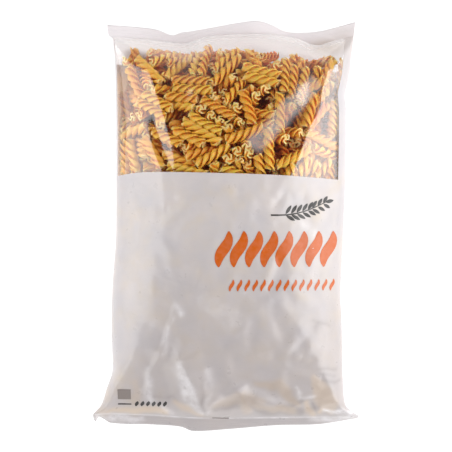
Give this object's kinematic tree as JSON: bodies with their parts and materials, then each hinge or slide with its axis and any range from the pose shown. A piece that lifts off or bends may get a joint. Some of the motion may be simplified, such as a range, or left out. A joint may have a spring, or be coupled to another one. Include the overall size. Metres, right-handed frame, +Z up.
{
  "type": "pasta packet",
  "caption": "Sealed pillow bag of dry spiral pasta: clear window over the pasta, white printed field below, flat crimped seals at both ends, lying on its back.",
  "frame": {"origin": "on the floor, under the middle of the packet's outline as it lies on its back", "axes": "+X across the printed front from its left to its right, +Y from the bottom seal to the top seal, +Z up out of the printed front"},
  "size_m": [0.1864, 0.2892, 0.059],
  "materials": {
    "white_film": "milky white printed film, glossy and softly creased",
    "clear_film": "clear glossy film, thin and see-through",
    "pasta": "dry durum pasta, amber, slightly translucent",
    "orange_ink": "flat orange print under the film's gloss",
    "dark_ink": "flat charcoal print under the film's gloss"
  },
  "bodies": {
    "root": {"packet": "white_film"}
  },
  "joints": []
}
